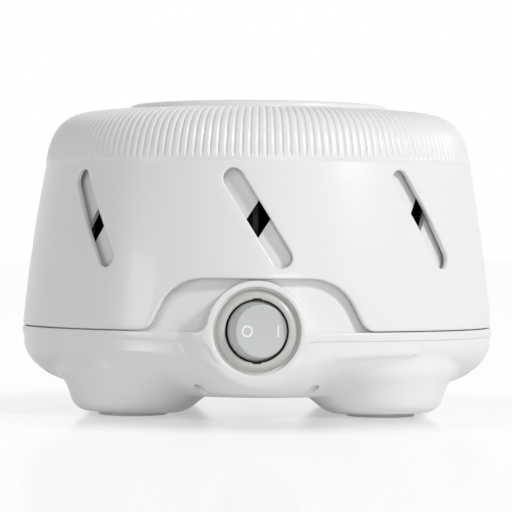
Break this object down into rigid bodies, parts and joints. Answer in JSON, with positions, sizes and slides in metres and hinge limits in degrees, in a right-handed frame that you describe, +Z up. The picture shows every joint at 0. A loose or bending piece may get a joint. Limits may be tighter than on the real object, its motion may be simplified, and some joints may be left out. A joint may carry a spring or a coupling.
{
  "type": "white noise sound machine",
  "caption": "Round tabletop fan sound machine with a slotted turning hood over a slotted drum, a ribbed shoulder, a turning cap and a round rocker switch in a pod at the front.",
  "frame": {"origin": "on the table, below the centre of the machine", "axes": "+Z up along the fan's shaft, -Y towards the front, where the switch is, and +X to the right seen from the front"},
  "size_m": [0.146, 0.1535, 0.0945],
  "materials": {
    "white_shell": "moulded white plastic, smooth with a soft gloss",
    "clear_rubber": "milky translucent rubber",
    "switch_grey": "warm light grey moulded plastic",
    "bright_steel": "plated steel",
    "contact_brass": "stamped brass",
    "bare_copper": "bare copper",
    "fan_black": "black moulded plastic",
    "lamination_steel": "stacked steel laminations",
    "natural_nylon": "natural nylon",
    "enamelled_wire": "enamelled copper wire",
    "zinc_plate": "zinc plated pressing",
    "bearing_bronze": "sintered bronze",
    "black_rubber": "black rubber",
    "lead_black": "black wire insulation",
    "lead_white": "white wire insulation"
  },
  "bodies": {
    "base": {"base_shell": "white_shell", "foot_pad_1": "clear_rubber", "foot_pad_2": "clear_rubber", "foot_pad_3": "clear_rubber", "foot_pad_4": "clear_rubber", "inner_drum": "white_shell", "inlet_plate": "white_shell", "housing_screws": "bright_steel", "switch_housing": "switch_grey", "switch_terminals": "contact_brass", "motor_core": "lamination_steel", "coil_core": "lamination_steel", "coil_bobbin": "natural_nylon", "coil_winding": "enamelled_wire", "shading_rings": "bare_copper", "bracket_lower": "zinc_plate", "bracket_upper": "zinc_plate", "bush_lower": "bearing_bronze", "bush_upper": "bearing_bronze", "motor_screws": "bright_steel", "motor_grommets": "black_rubber", "cord_gland": "black_rubber", "lead_live": "lead_black", "lead_switched": "lead_black", "lead_neutral": "lead_white", "crimp_caps": "natural_nylon"},
    "hood": {"outer_hood": "white_shell"},
    "cap": {"top_cap": "white_shell", "cap_washer": "bright_steel", "cap_screw": "bright_steel"},
    "fan": {"fan_wheel": "fan_black", "fan_clip": "bright_steel", "motor_shaft": "bright_steel", "rotor_core": "lamination_steel", "thrust_washers": "natural_nylon"},
    "rocker": {"switch_rocker": "switch_grey", "rocker_spring": "bright_steel", "contact_plunger": "contact_brass"},
    "contact": {"contact_bridge": "bare_copper"}
  },
  "joints": [
    {"name": "hood_turn", "type": "hinge", "parent": "base", "child": "hood", "pos_m": [0, 0, 0.0259], "axis": [0, 0, 1], "range_deg": [-12, 12]},
    {"name": "cap_turn", "type": "hinge", "parent": "base", "child": "cap", "pos_m": [0, 0, 0.0915], "axis": [0, 0, 1], "range_deg": [-30, 30]},
    {"name": "fan_spin", "type": "hinge", "parent": "base", "child": "fan", "pos_m": [0, 0, 0.0264], "axis": [0, 0, 1], "continuous": true},
    {"name": "rocker_tilt", "type": "hinge", "parent": "base", "child": "rocker", "pos_m": [0, -0.0701, 0.02606], "axis": [0, 0, 1], "range_deg": [-32, 0]},
    {"name": "contact_tilt", "type": "hinge", "parent": "base", "child": "contact", "pos_m": [0, -0.0606, 0.02606], "axis": [0, 0, 1], "range_deg": [0, 16]}
  ],
  "couplings": [
    {"joint": "contact_tilt", "follows": "rocker_tilt", "ratio": -0.5}
  ]
}
